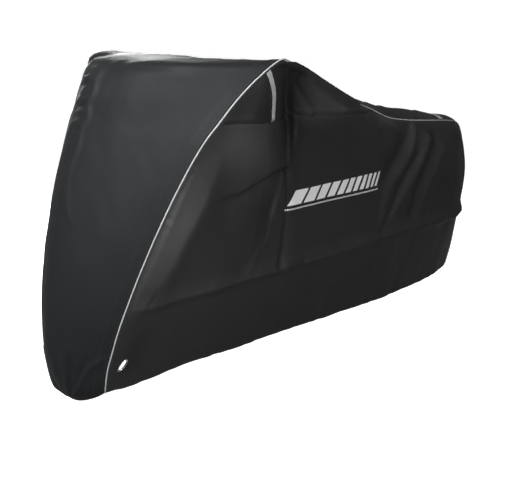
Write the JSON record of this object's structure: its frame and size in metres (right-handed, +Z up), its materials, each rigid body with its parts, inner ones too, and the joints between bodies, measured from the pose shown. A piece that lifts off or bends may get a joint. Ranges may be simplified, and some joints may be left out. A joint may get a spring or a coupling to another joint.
{
  "type": "fitted motorcycle cover",
  "caption": "Fitted fabric cover in the shape it takes over a motorcycle, with piped seams, reflective strips and lock eyelets at the front wheel.",
  "frame": {"origin": "halfway along the cover and across it, level with its lowest hem", "axes": "+X from the front to the tail, +Y to the right side, +Z up"},
  "size_m": [2.0257, 0.908, 1.0741],
  "materials": {
    "front_cloth": "coated polyester, charcoal",
    "side_cloth": "coated polyester, black",
    "piping": "light grey reflective piping",
    "reflective_tape": "silver grey reflective tape",
    "eyelet_metal": "bright rolled metal"
  },
  "bodies": {
    "root": {"front_panel": "front_cloth", "top_panel": "side_cloth", "shoulder_left": "side_cloth", "shoulder_right": "side_cloth", "side_left": "side_cloth", "side_right": "side_cloth", "skirt_left": "side_cloth", "skirt_right": "side_cloth", "eyelet_strip_left": "side_cloth", "eyelet_strip_right": "side_cloth", "piping_left": "piping", "piping_right": "piping", "shoulder_strip_left": "reflective_tape", "shoulder_strip_right": "reflective_tape", "tail_strip": "reflective_tape", "eyelet_left": "eyelet_metal", "eyelet_right": "eyelet_metal"}
  },
  "joints": []
}
